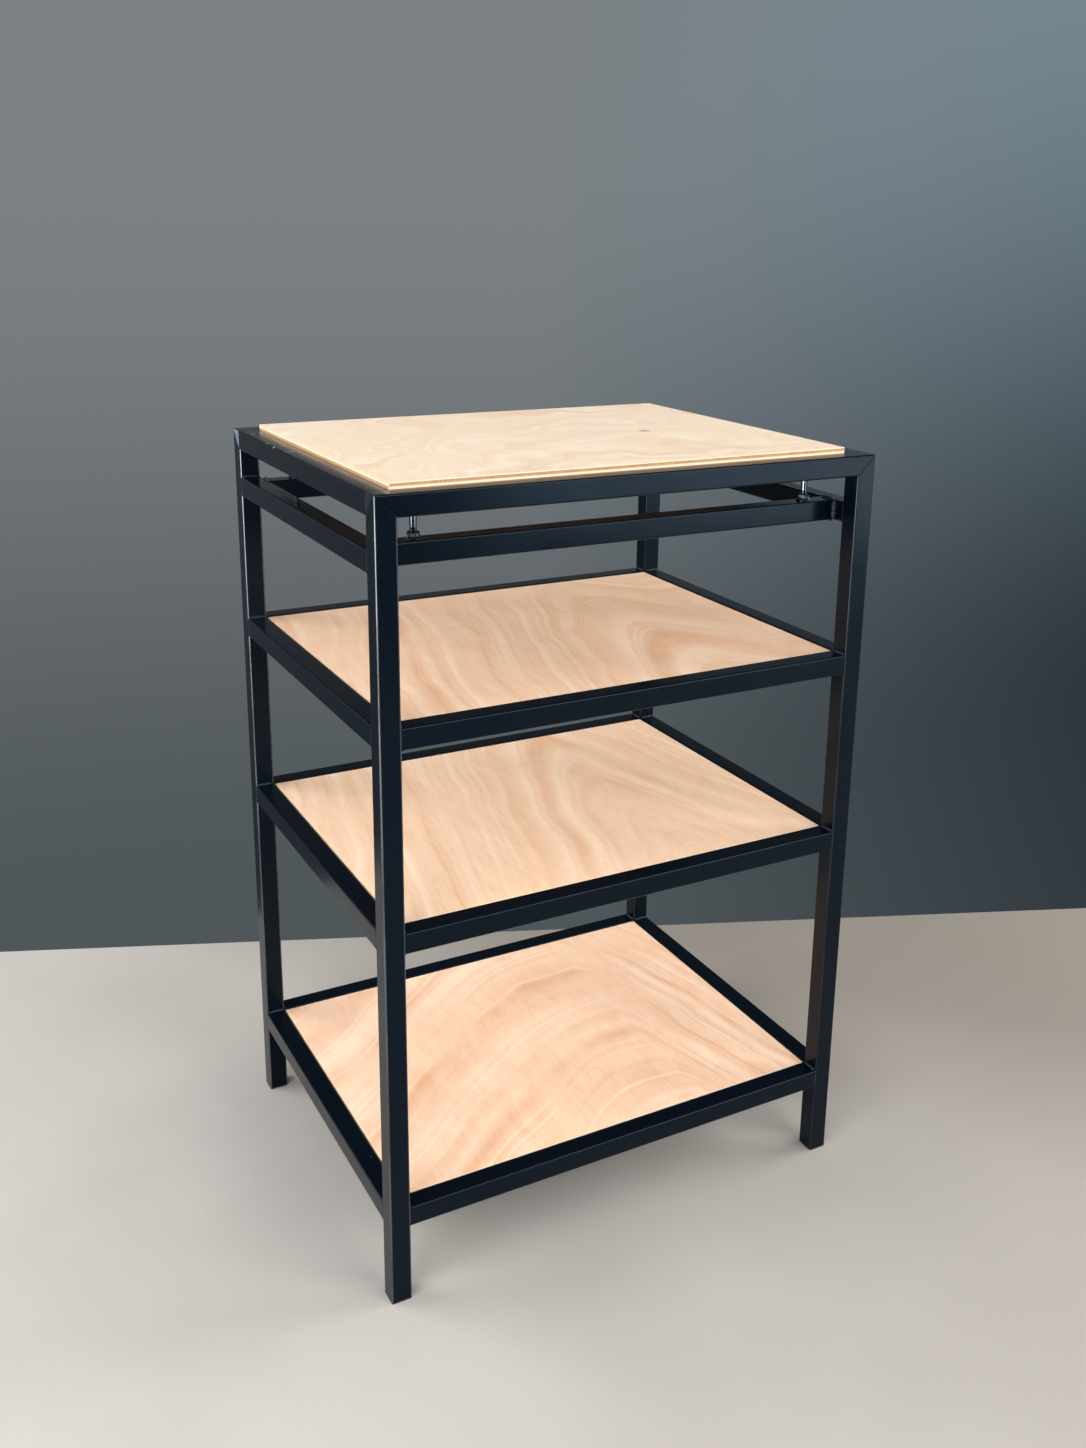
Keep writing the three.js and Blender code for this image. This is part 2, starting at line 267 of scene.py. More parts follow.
bright_zinc = small_metal("bright_zinc_plate", "#5f646a", "#50555b", 0.14, 0.22, THREAD_GRIME)
oxide_black = small_metal("oiled_black_oxide", "#22282f", "#2b3037", 0.34, 0.46, OXIDE_MOTTLE)
plug_plastic = moulded_plastic("moulded_polyethylene", "#0d0f12", "#202327")
print("materials:", bright_zinc.name, oxide_black.name, plug_plastic.name)

# %% [markdown]
# ## Beech plywood: the face
#
# Plywood veneer is peeled off a turning log by a long knife. The knife runs almost along the
# growth rings, so they come out as broad, wandering arches instead of the narrow stripes of
# sawn wood. Beech is very even, and its arches differ from the ground by only a few shades. What
# says "beech" close up is its fleck: short brown dashes, half a millimetre wide, along the grain.
#
# A Wave texture would draw even stripes, and no arches. But an arch is a contour of a height map.
# Where the height is `y` plus a fall to each side, each contour is round at its crest, with two
# legs that run off nearly straight along the grain. A wide noise makes it wander. The rings are
# then a one-dimensional noise of that height, so that their spacing is uneven, with a few pale
# lines where a ring ended.
#
# The `figure` of each board says where its arch is and how it falls.
#
# The underside is out of sight, but the lift rails mirror it, dark brown. So it is painted a
# darker,
# browner veneer: painted shade, for the shadow that the underside lies in.

# %% Make the face veneer
FLECK_WIDTH = 2.0 * MM
FLECK_LENGTH = 13 * MM
FLECK_SHARE = 0.22
STREAK_WIDTH = 2.4 * MM
STREAK_LENGTH = 32 * MM
MOTTLE = 24 * MM
LINT_SPACING = 75 * MM
LINT_SIZE = 0.7 * MM
KNOT_SIZE = (6.5, 7.5, math.inf)
FACE_RELIEF = 0.04 * MM
RING_END = 0.16
LIFT = 0.12
STREAK_SHARE = 0.55
MOTTLE_SHARE = 0.60
FLECK = "#b98a62"
LINT = "#fff3e4"
KNOT = "#8a5a38"


def arch_height(add, bent, figure):
    """The height map whose contours are the board's growth rings."""
    axes = add("SeparateXYZ", {0: bent})
    height = add("Math", {0: axes.outputs["Y"], 1: figure["crest"] * MM}, operation="SUBTRACT")
    for side, (start, slope, softness, limit) in ((-1, figure["left"]), (1, figure["right"])):
        out = add("Math", {
            0: axes.outputs["X"], 1: side, 2: -side * start * MM}, operation="MULTIPLY_ADD")
        out = add("Clamp", {"Value": out, "Min": 0.0, "Max": limit * MM})
        round_off = add("Math", {
            0: out, 1: out, 2: (softness * MM) ** 2}, operation="MULTIPLY_ADD")
        fall = add("Math", {0: round_off}, operation="SQRT")
        height = add("Math", {0: fall, 1: slope, 2: height}, operation="MULTIPLY_ADD")
    return height


def beech_face(name, pale, dark, figure):
    """Rotary-cut beech veneer with its grain along Y."""
    material, add, place = new_material(name)
    figure = COMMON_FIGURE | figure
    wander = add("TexNoise", {
        "Vector": place, "Scale": figure["wander_scale"], "Detail": figure["wiggle"]})
    shift = add("VectorMath", {
        0: wander.outputs["Color"], 1: (0.5, 0.5, 0.5)}, operation="SUBTRACT")
    reach = add("VectorMath", {0: shift, 1: (figure["wander"],) * 3}, operation="MULTIPLY")
    bent = add("VectorMath", {0: place, 1: reach})
    rings = add("Math", {
        0: arch_height(add, bent, figure), 1: 1 / (figure["band"] * MM), 2: figure["seed"]},
        operation="MULTIPLY_ADD")
    broad = add("TexNoise", {
        "W": rings, "Scale": 1.0, "Detail": 3.0, "Roughness": 0.55}, noise_dimensions="1D")
    ring_end = add("TexVoronoi", {"W": rings, "Scale": 1.2}, voronoi_dimensions="1D")
    line = add("MapRange", {0: ring_end, 2: 0.06, 3: 1.0, 4: 0.0})
    bands = add("Math", {0: line, 1: RING_END, 2: broad}, operation="MULTIPLY_ADD")
    centred = add("Math", {0: bands, 1: 0.5}, operation="SUBTRACT")
    patchy = add("TexNoise", {"Vector": place, "Scale": 8.0, "Detail": 2.0})
    clear = add("MapRange", {0: patchy, 1: 0.35, 2: 0.62, 3: 0.25, 4: figure["contrast"]})
    tone = add("Math", {0: centred, 1: clear, 2: LIFT}, operation="MULTIPLY_ADD")

    streak, mottle = (
        add("TexNoise", {
            "Vector": add("Mapping", {"Vector": along, "Scale": scale}),
            "Scale": 1.0, "Detail": detail, "Roughness": roughness})
        for along, scale, detail, roughness in (
            (place, (1 / STREAK_WIDTH, 1 / STREAK_LENGTH, 1.0), 4.0, 0.6),
            (bent, (1 / MOTTLE, 0.4 / MOTTLE, 1.0), 5.0, 0.65)))
    for texture, share in ((streak, STREAK_SHARE), (mottle, MOTTLE_SHARE)):
        tone = add("Math", {0: texture, 1: share, 2: tone}, operation="MULTIPLY_ADD")

    sparse = add("Mapping", {"Vector": place, "Scale": (1 / FLECK_WIDTH, 1 / FLECK_LENGTH, 1.0)})
    flecks = add("TexVoronoi", {"Vector": sparse, "Scale": 1.0})
    dash = add("MapRange", {0: flecks, 1: 0.10, 2: 0.24, 3: 1.0, 4: 0.0})
    depth = add("Math", {0: dash, 1: FLECK_SHARE}, operation="MULTIPLY")
    crumbs = add("TexVoronoi", {"Vector": place, "Scale": 1 / LINT_SPACING})
    lint = add("Math", {0: crumbs, 1: LINT_SIZE / LINT_SPACING}, operation="LESS_THAN")
    marks = [(tone, pale), (depth, FLECK), (lint, LINT)]
    if figure["knot"]:
        away = away_from(add, place, (*figure["knot"], 0), KNOT_SIZE)
        knot = add("MapRange", {
            0: away, 1: 0.1, 2: 1.7, 3: 0.7, 4: 0.0}, interpolation_type="SMOOTHSTEP")
        marks.append((knot, KNOT))
    face = linear(dark)
    for mark, over in marks:
        face = add("Mix", {0: mark, 6: face, 7: linear(over)}, data_type="RGBA")

    relief = add("Math", {0: dash, 1: -1.0, 2: streak}, operation="MULTIPLY_ADD")
    bump = add("Bump", {"Height": relief, "Distance": FACE_RELIEF, "Strength": 0.6})
    rough = add("MapRange", {0: streak, 1: 0.3, 2: 0.7, 3: 0.44, 4: 0.58})
    wood = add("BsdfPrincipled", {
        "Base Color": face, "Roughness": rough, "IOR": 1.5, "Normal": bump,
        "Specular IOR Level": 0.35})
    add("OutputMaterial", {"Surface": wood})
    return material


# Each side of an arch is where its leg starts, how steeply it falls, how soft the bend between
# is, and where the fall ends. All are in millimetres but the steepness.
NO_LIMIT = 1000
COMMON_FIGURE = {"band": 90, "wander": 0.05, "wander_scale": 5.0, "wiggle": 1.0, "knot": None}
FIGURES = {
    "lower": {"crest": 57, "left": (60, 0.8, 60, NO_LIMIT), "right": (130, 4.0, 25, NO_LIMIT),
              "wander": 0.06, "seed": 3.2, "contrast": 2.3},
    "middle": {"crest": 60, "left": (115, 4.5, 80, NO_LIMIT), "right": (115, 4.0, 27, NO_LIMIT),
               "seed": 7.6, "contrast": 1.3},
    "upper": {"crest": 120, "left": (135, 4.2, 90, NO_LIMIT), "right": (140, 1.5, 25, 100),
              "wander_scale": 6.0, "seed": 12.1, "contrast": 1.6},
    "top": {"crest": -40, "left": (-60, 2.0, 60, NO_LIMIT), "right": (160, 1.2, 60, NO_LIMIT),
            "band": 48, "wander": 0.30, "wander_scale": 8.0, "wiggle": 2.0,
            "seed": 24.4, "contrast": 1.8, "knot": (138, -14)},
}
# The top board's tones are paler than the shelves': a painted highlight for the strong light on
# its top. Each shelf's tones are set to even out the shade between the boards.
TONES = {
    "lower": ("#f3d2b5", "#d4986c"), "middle": ("#fbdbbd", "#dda577"),
    "upper": ("#fcdabb", "#dea578"), "top": ("#f9e6ce", "#e6c39f")}
# Painted shade: the underside's tones are darker and browner than any face of the boards.
UNDERSIDE_SHADE_TONES = ("#6b5c4d", "#4e4237")
faces = {
    board: beech_face(f"beech_veneer_{board}", *TONES[board], figure)
    for board, figure in FIGURES.items()
}
underside_shade = beech_face("beech_underside_painted_shade", *UNDERSIDE_SHADE_TONES, FIGURES["middle"])
print("veneers:", sorted(faces), "and", underside_shade.name)

# %% [markdown]
# ## Beech plywood: the edges
#
# These 12 mm boards have five plies with their grain crossed. Where a ply's grain runs along the
# edge it is pale and smooth. Where it runs into the edge, the saw opens its pores, and they fill
# with dust and look brown and speckled. Between the plies are dark lines of glue, about a quarter
# of a millimetre wide, drawn at 0.5 mm here so that they show.

# %% Make the ply edges
PORE = 0.9 * MM
PORE_DEPTH = 0.08 * MM
SAW_MARK = 5 * MM


def ply_edge(name, pale, dark, speckle):
    """A sawn ply edge. speckle is the share of open pores."""
    material, add, place = new_material(name)
    pores, tint = (
        add("TexNoise", {"Vector": place, "Scale": 1 / size, "Detail": detail})
        for size, detail in ((PORE, 2.0), (SAW_MARK, 4.0)))
    open_pore = add("MapRange", {0: pores, 1: 0.62 - speckle, 2: 0.70, 3: 0.0, 4: 1.0})
    mixed = add("Math", {0: tint, 1: 0.5, 2: open_pore}, operation="MULTIPLY_ADD")
    colour = add("Mix", {0: mixed, 6: linear(pale), 7: linear(dark)}, data_type="RGBA")
    bump = add("Bump", {"Height": pores, "Distance": -PORE_DEPTH, "Strength": 0.7})
    rough = add("MapRange", {0: tint, 3: 0.6, 4: 0.75})
    wood = add("BsdfPrincipled", {
        "Base Color": colour, "Roughness": rough, "IOR": 1.5, "Normal": bump,
        "Specular IOR Level": 0.3})
    add("OutputMaterial", {"Surface": wood})
    return material


edge_materials = {
    "along": ply_edge("beech_ply_along_grain", "#f2d8b8", "#dfbd95", 0.0),
    "across": ply_edge("beech_ply_end_grain", "#cba27a", "#7d5536", 0.13),
    "glue": ply_edge("glue_line", "#b99169", "#94704a", 0.04),
    "arris": ply_edge("sanded_arris", "#f6dcb9", "#e0bb90", 0.0),
    "outer": ply_edge("beech_outer_ply", "#e3c294", "#c9a06c", 0.0),
}
print("edge materials:", [m.name for m in edge_materials.values()])

# %% [markdown]
# ## From bmesh to a finished piece
#
# Every new piece ends the same way: its faces are turned outwards, its mesh becomes an object, and
# it takes the place of its plain twin in the measured model.
#
# Smooth shading makes round corners round, but on a long flat face it also drags the shading of
# the corner across the flat. The Weighted Normal modifier gives the big flat faces the say, so
# they stay flat and only the corner bends the light.

# %% The finishing helper
SHARP = math.radians(40)
made_pieces = []


def as_mesh(bm, name):
    """Ends the work on a bmesh and returns it as a mesh."""
    mesh = bpy.data.meshes.new(name)
    bm.to_mesh(mesh)
    bm.free()
    return mesh


def add_object(name, data):
    """Puts new data into the scene as an object."""
    made = bpy.data.objects.new(name, data)
    bpy.context.scene.collection.objects.link(made)
    return made


def finish_piece(bm, name, body, materials, stands_for=(), weighted=True, sharp=SHARP):
    """Turns a bmesh into a named piece that moves with a body of the measured model."""
    bmesh.ops.recalc_face_normals(bm, faces=bm.faces[:])
    mesh = as_mesh(bm, name)
    for material in materials:
        mesh.materials.append(material)
    mesh.shade_smooth()
    mesh.set_sharp_from_angle(angle=sharp)
    piece = add_object(name, mesh)
    if weighted:
        piece.modifiers.new("weighted_normals", "WEIGHTED_NORMAL").keep_sharp = True
    if stands_for:
        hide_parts(*stands_for)
    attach(piece, body)
    made_pieces.append(piece)


def open_edges(bm):
    """How many edges don't have exactly two faces. A closed shape has none."""
    return sum(len(edge.link_faces) != 2 for edge in bm.edges)


# %% [markdown]
# ## Square tube
#
# Mild steel tube is rolled round, welded, and squeezed square, which leaves 2 mm corner radii on
# a 25 mm section with a 1.5 mm wall. The radius matters: nearly every bright line on the rack is
# a lamp mirrored in one of these corners.
#
# A box with a Bevel modifier would look the same outside, but real tube is hollow. So the section
# is drawn first, as a flat square: its corners are rounded with a vertex bevel, an inset gives the
# wall, and the middle is thrown away. Raising that ring makes the tube.

# %% A length of tube
TUBE = 25 * MM
HALF_TUBE = TUBE / 2
WALL = 1.5 * MM
CORNER_RADIUS = 2 * MM
CORNER_STEPS = 6
SAW_BURR = 0.35 * MM
TOUCH = 0.01 * MM


def only(kind, items):
    """The items of one kind, such as the vertices among all that an operator made."""
    return [item for item in items if isinstance(item, kind)]


def raise_tube(bm, length, rub=1.0):
    """Raises a hollow square tube from z = 0 and returns its vertices at the top end.

    rub is how far the coat is rubbed bright on the rounded corners: partly wear, and partly
    painted sheen, set piece by piece to how the lamps' highlights fall."""
    edge = bm.verts.layers.float.new("edge")
    bm.faces.layers.float.new("seam")
    bmesh.ops.create_grid(bm, x_segments=1, y_segments=1, size=HALF_TUBE)
    bmesh.ops.bevel(
        bm, geom=bm.verts[:], offset=CORNER_RADIUS, offset_type="OFFSET",
        segments=CORNER_STEPS, profile=0.5, affect="VERTICES", material=-1)
    for vert in bm.verts:
        if max(abs(vert.co.x), abs(vert.co.y)) < HALF_TUBE - TOUCH:
            vert[edge] = rub
    section = bm.faces[:]
    bmesh.ops.inset_region(
        bm, faces=section, thickness=WALL, use_even_offset=True, use_boundary=True)
    bmesh.ops.delete(bm, geom=section, context="FACES_ONLY")
    top = only(BMVert, bmesh.ops.extrude_face_region(bm, geom=bm.faces[:])["geom"])
    bmesh.ops.translate(bm, vec=(0, 0, length), verts=top)
    bmesh.ops.recalc_face_normals(bm, faces=bm.faces[:])
    return top


trial = bmesh.new()
raise_tube(trial, 100 * MM)
print("open edges:", open_edges(trial), "mm3 of steel:", round(trial.calc_volume() * 1e9))
trial.free()

# %% [markdown]
# ## Cutting and laying the tubes
#
# Two kinds of joint hold the frame. Most rails simply butt against a leg. The front and back top
# rails meet the legs in a mitre, a 45 degree cut, so that no open end shows.
#
# A saw cut could be made with a bisecting plane and then capped, but a shear is simpler: it slides
# the end's vertices along the tube by as much as they are across it, and the ring stays closed.
# A narrow bevel round the cut is the deburred edge, and two of them make the fine V of a seam. On
# a slanting cut the bevel can push a point out by a micrometre, so its points are held back.

# %% Cut and lay a tube
MITRE_SEAM = 0.2 * MM
# How much of the bright skin the rails' rounded corners get: kept low as painted sheen, so that
# they show little of the lamps' highlights.
RAIL_RUB_AND_SHEEN = 0.04
LIE = {
    "x": Matrix.Rotation(math.radians(90), 4, "Y"),
    "y": Matrix.Rotation(math.radians(-90), 4, "X"),
    "z": Matrix.Identity(4),
}


def mitre_end(bm, verts, end, long_side):
    """Shears an end to 45 degrees. The wall on long_side of x keeps its length."""
    cut = Matrix.Identity(4)
    cut[2][0] = end * long_side
    cut[2][3] = -end * (HALF_TUBE + MITRE_SEAM / 2)
    bmesh.ops.transform(bm, matrix=cut, verts=verts)


def deburr_ends(bm):
    """Bevels the outer rim of both ends."""
    rims = []
    for edge in bm.edges:
        slopes = sorted(abs(face.normal.z) for face in edge.link_faces)
        outside = min(max(abs(v.co.x), abs(v.co.y)) for v in edge.verts) > HALF_TUBE - WALL / 2
        if outside and slopes[0] < 0.01 < slopes[-1]:
            rims.append(edge)
    rounded = bmesh.ops.bevel(
        bm, geom=rims, offset=SAW_BURR, offset_type="OFFSET", segments=2,
        profile=0.5, affect="EDGES", material=-1)
    # The bevel's faces get `seam`, which paints them near black: painted shade in the groove of
    # each cut.
    seam = bm.faces.layers.float["seam"]
    for face in rounded["faces"]:
        face[seam] = 1.0
    for vert in rounded["verts"]:
        for axis in range(2):
            vert.co[axis] = max(-HALF_TUBE, min(HALF_TUBE, vert.co[axis]))


def cut_tube(length, mitres=(None, None), rub=RAIL_RUB_AND_SHEEN):
    """A tube along z from 0 to length. Each mitre is the side of x that stays long."""
    bm = bmesh.new()
    top = raise_tube(bm, length, rub)
    bottom = [vert for vert in bm.verts if vert not in set(top)]
    for verts, end, long_side in ((bottom, -1, mitres[0]), (top, 1, mitres[1])):
        if long_side:
            mitre_end(bm, verts, end, long_side)
    deburr_ends(bm)
    return bm


def lay_tube(bm, direction, start):
    """Turns a tube from z to its direction and moves its lower end to start."""
    bmesh.ops.transform(bm, matrix=Matrix.Translation(start) @ LIE[direction], verts=bm.verts[:])


trial = cut_tube(100 * MM, (None, 1))
print("rim and end edges closed:", open_edges(trial) == 0)
trial.free()

# %% [markdown]
# ## The four legs and the mitred top rails
#
# The legs are one length from floor to top, which is why the frame is stiff. Each leg's outer face
# stays long at the top and its inner face is cut short, and the rail above it mirrors that.
#
# After welding, the outer corner of each mitre is run over with a grinder. A plane cuts the tip
# off both pieces at once, and the hole that it leaves is filled with one face. The side of each
# leg is dressed too, in a triangle beside the side rail, most of all on the back left one.

# %% Legs and mitred rails
HALF_WIDTH = cad_box[1].x
HALF_DEPTH = cad_box[1].y
TOP_OF_FRAME = 960 * MM
PLUG_FLANGE = 2 * MM
GROUND_OFF = 0.6 * MM
SNAP = 0.0001 * MM
SIDES = {"left": -1, "right": 1}
ENDS = {"front": -1, "back": 1}
CORNERS = [(end, side, sx, sy) for end, sy in ENDS.items() for side, sx in SIDES.items()]
# The left legs' corners get all of the bright skin and the right legs' a fifth: partly wear,
# partly painted sheen for where the edge lamp's highlight falls.
LEG_RUB_AND_SHEEN = {"left": 1.0, "right": 0.2}
GROUND_PALE = {
    ("front", "left"): 0.05, ("front", "right"): 0.2,
    ("back", "left"): 0.85, ("back", "right"): 0.3}


def plane_cut(bm, place, normal, faces=None, **settings):
    """Cuts a mesh, or only some of its faces, along a plane. Returns the edges of the cut."""
    if faces:
        parts = list({part for face in faces for part in (face, *face.edges, *face.verts)})
    else:
        parts = bm.verts[:] + bm.edges[:] + bm.faces[:]
    cut = bmesh.ops.bisect_plane(bm, geom=parts, plane_co=place, plane_no=normal, **settings)
    return only(BMEdge, cut["geom_cut"])


def grind_corner(bm, side):
    """Takes the tip off the mitred corner on one side of the rack."""
    outward = Vector((side, 0, 1)).normalized()
    corner = Vector((side * HALF_WIDTH, 0, TOP_OF_FRAME))
    rim = plane_cut(bm, corner - outward * GROUND_OFF, outward, dist=SNAP, clear_outer=True)
    bmesh.ops.holes_fill(bm, edges=rim, sides=0)


def outer_side(bm, sx):
    """The flat faces on the outer side of a leg."""
    return [
        face for face in bm.faces if face.normal.x * sx > 0.999
        and abs(face.calc_center_median().x) > HALF_WIDTH - WALL / 2]


def dress_side(bm, sx, sy, amount):
    """Marks the ground triangle at the top of a leg's outer side, next to the side rail."""
    ground = bm.faces.layers.float.new("ground")
    towards_rail = Vector((0, -sy, 1)).normalized()
    corner = Vector((0, sy * HALF_DEPTH, TOP_OF_FRAME))
    plane_cut(bm, corner, towards_rail, outer_side(bm, sx))
    for face in outer_side(bm, sx):
        if (face.calc_center_median() - corner).dot(towards_rail) > 0:
            face[ground] = amount


def finish_tube(bm, node):
    """Puts a tube of the frame in the place of the measured one."""
    finish_piece(bm, f"tube_{node}", "frame", [satin_black], [node])


for end, sy in ENDS.items():
    y = sy * (HALF_DEPTH - HALF_TUBE)
    for side, sx in SIDES.items():
        leg = cut_tube(TOP_OF_FRAME - PLUG_FLANGE, (None, sx), LEG_RUB_AND_SHEEN[side])
        lay_tube(leg, "z", Vector((sx * (HALF_WIDTH - HALF_TUBE), y, PLUG_FLANGE)))
        grind_corner(leg, sx)
        dress_side(leg, sx, sy, GROUND_PALE[end, side])
        print(f"leg_{end}_{side} open edges:", open_edges(leg))
        finish_tube(leg, f"leg_{end}_{side}")
    rail = cut_tube(2 * HALF_WIDTH, (-1, -1))
    lay_tube(rail, "x", Vector((-HALF_WIDTH, y, TOP_OF_FRAME - HALF_TUBE)))
    grind_corner(rail, -1)
    grind_corner(rail, 1)
    print(f"top_rail_{end} open edges:", open_edges(rail))
    finish_tube(rail, f"top_rail_{end}")

# %% [markdown]
# ## The butted rails
#
# The other rails are plain lengths, sixteen of them. Each goes where the measured model has it:
# its box gives the length, and the middle of the box gives the line that it lies on.

# %% Butted rails
SHELVES = ("lower", "middle", "upper")


def straight_rail(node, direction):
    """A plain length of tube in place of a rail of the measured model."""
    low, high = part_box(node)
    axis = "xyz".index(direction)
    start = (low + high) / 2
    start[axis] = low[axis]
    bm = cut_tube(high[axis] - low[axis])
    lay_tube(bm, direction, start)
    return bm


rails = [(f"{level}_rail_{side}", "y") for level in (*SHELVES, "top", "lift") for side in SIDES]
rails += [(f"{level}_rail_{end}", "x") for level in SHELVES for end in ENDS]
for node, direction in rails:
    finish_tube(straight_rail(node, direction), node)
print("tubes so far:", len(made_pieces))

# %% [markdown]
# ## The drilled cross rails
#
# Two rails cross the rack below the top board and carry the rods. Each has two 9 mm holes, through
# the top wall only.
#
# A hole can be cut with a Boolean, but drawn by hand it keeps clean faces round it: planes cut the
# wall into a small square round the hole, the square is thrown away, and its rim is bridged to a
# circle. The same is done to the wall's inner face, and a last bridge joins the two circles.

# %% Cross rails with their holes
SPIKE_HOLE = 9 * MM
HOLE_PATCH = 7 * MM
HOLE_STEPS = 24


def ring_of_edges(bm, radius, points, matrix):
    """Draws a circle and returns its edges."""
    made = bmesh.ops.create_circle(
        bm, cap_ends=False, radius=radius, segments=points, matrix=matrix)
    return list({edge for vert in made["verts"] for edge in vert.link_edges})


def wall_faces(bm, x, height):
    """The flat faces at a height, near x."""
    return [
        face for face in bm.faces
        if abs(face.calc_center_median().x - x) < HOLE_PATCH
        and abs(face.calc_center_median().z - height) < TOUCH]


def drill_skin(bm, x, y, height):
    """Opens a round hole in one skin of the top wall and returns its rim."""
    for side in (-1, 1):
        plane_cut(bm, (x, y + side * HOLE_PATCH, height), (0, 1, 0), wall_faces(bm, x, height))
    middle = Vector((x, y, height))
    patch = min(
        wall_faces(bm, x, height),
        key=lambda face: (face.calc_center_median() - middle).length)
    sides = patch.edges[:]
    bmesh.ops.delete(bm, geom=[patch], context="FACES_ONLY")
    bmesh.ops.subdivide_edges(bm, edges=sides, cuts=HOLE_STEPS // 4 - 1)
    square = [
        edge for edge in bm.edges if len(edge.link_faces) == 1
        and all(abs(v.co.z - height) < TOUCH for v in edge.verts)
        and (edge.verts[0].co - middle).length < 2 * HOLE_PATCH]
    rim = ring_of_edges(bm, SPIKE_HOLE / 2, HOLE_STEPS, Matrix.Translation(middle))
    bmesh.ops.bridge_loops(bm, edges=square + rim)
    return rim


def drill_wall(bm, x, y, top):
    """Drills the top wall at one place."""
    for side in (-1, 1):
        plane_cut(bm, (x + side * HOLE_PATCH, y, top), (1, 0, 0))
    rims = [drill_skin(bm, x, y, height) for height in (top, top - WALL)]
    bmesh.ops.bridge_loops(bm, edges=rims[0] + rims[1])


for end in ENDS:
    node = f"cross_rail_{end}"
    low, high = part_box(node)
    rail = straight_rail(node, "x")
    for side in SIDES:
        rod_low, rod_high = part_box(f"spike_{end}_{side}")
        rod = (rod_low + rod_high) / 2
        drill_wall(rail, rod.x, rod.y, high.z)
    print(node, "open edges:", open_edges(rail))
    finish_tube(rail, node)

# %% [markdown]
# ## Weld beads
#
# A hand weld is a row of little puddles, each frozen onto the last. In an inside corner it stays
# as it was laid, 3 to 5 mm wide. On the outer faces it is ground nearly flush, and shows only as a
# faint line with a blob at each end, where the arc started and stopped.
#
# A curve with a round bevel would be as smooth as a pipe. So each bead is a circle pushed along
# its seam in short steps, and at every step the new ring is scaled by a slow wave, for the
# puddles, and by a little chance. The random numbers have a fixed seed, so the same welds come
# out every time.

# %% Tools for welds
BEAD_STEP = 1.1 * MM
PUDDLE = 4.2 * MM
GROUND_BELOW = 0.12 * MM
BUTT_FILL = 1.15 * MM
chance = random.Random(25)


def bead(welds, start, end, radius, lumpiness=0.10, sides=10):
    """Adds a weld bead from start to end. With four sides it is a bar that lies in a groove."""
    bm = bmesh.new()
    start, end = Vector(start), Vector(end)
    run = end - start
    steps = max(6, round(run.length / BEAD_STEP))
    turn = run.to_track_quat("Z", "Y").to_matrix().to_4x4()
    spin = Matrix.Rotation(math.radians(180 / sides), 4, "Z")
    reach = radius / math.cos(math.radians(180 / sides))
    edges = first_edges = ring_of_edges(
        bm, reach, sides, Matrix.Translation(start) @ turn @ spin)
    ring = bm.verts[:]
    first_phase = chance.uniform(0, 2 * math.pi)
    size = 1.0
    for step in range(steps + 1):
        share = step / steps
        taper = min(1.0, 0.55 + 0.45 * math.sin(math.pi * min(1.0, 4 * min(share, 1 - share)) / 2))
        wave = math.sin(first_phase + 2 * math.pi * share * run.length / PUDDLE)
        wanted = taper * (1 + lumpiness * wave + chance.uniform(-0.4, 0.4) * lumpiness)
        if step:
            grown = bmesh.ops.extrude_edge_only(bm, edges=edges)["geom"]
            ring = only(BMVert, grown)
            edges = [
                edge for edge in only(BMEdge, grown) if all(vert in ring for vert in edge.verts)]
            bmesh.ops.translate(bm, vec=run / steps, verts=ring)
        bmesh.ops.scale(
            bm, vec=(wanted / size,) * 3, verts=ring,
            space=Matrix.Translation(-(start + run * share)))
        size = wanted
    bmesh.ops.holes_fill(bm, edges=first_edges + edges, sides=0)
    laid = as_mesh(bm, "bead")
    welds.from_mesh(laid)
    bpy.data.meshes.remove(laid)


def blob(bm, centre, radius):
    """A frozen drop where a bead starts or stops."""
    bmesh.ops.create_icosphere(
        bm, subdivisions=2, radius=radius, matrix=Matrix.Translation(centre))


trial = bmesh.new()
bead(trial, (0, 0, 0), (20 * MM, 0, 0), 2 * MM)
print("bead faces:", len(trial.faces), "open edges:", open_edges(trial))
trial.free()

# %% [markdown]
# ## Where the welds are
#
# Seen from a leg, the seams of its butt joints repeat at each level, so the places are written
# once, in terms of which side and which end the leg is on.
#
# - A fillet under the rail and one on top of it, against the leg.
# - A flush fill on the outer face, with a blob at each end.
# - A fillet in the inside corner, below the board, on the lowest level only. Higher up, a board
#   lifted from the shelf below would foul it.

# %% Weld the shelf levels, the lift frame and the top
INNER_X = HALF_WIDTH - TUBE
INNER_Y = HALF_DEPTH - TUBE
FILLET = 1.9 * MM
SUNK = 0.5 * MM
HEAVY_FILLET = 3.1 * MM
FILLET_INSET = 2.6 * MM
FILL_LENGTH = TUBE - 2.4 * MM
INTO_JOINT = BUTT_FILL - 0.1 * MM
BLOB = 1.25 * MM
BELOW_BOARD = 2.2 * MM
TAB_WELD = 1.7 * MM
TAB_INSET = 3 * MM
AT_TAB = 0.2 * MM


def seam_fill(bm, place, direction, length, blobs=True):
    """A flush fill centred on place, along an axis of the rack, with its end blobs."""
    half = Vector((0, 0, 0))
    half["xyz".index(direction)] = length / 2
    bead(bm, place - half, place + half, BUTT_FILL, lumpiness=0.03, sides=4)
    if blobs:
        for tip in (place - half, place + half):
            blob(bm, tip, BLOB)


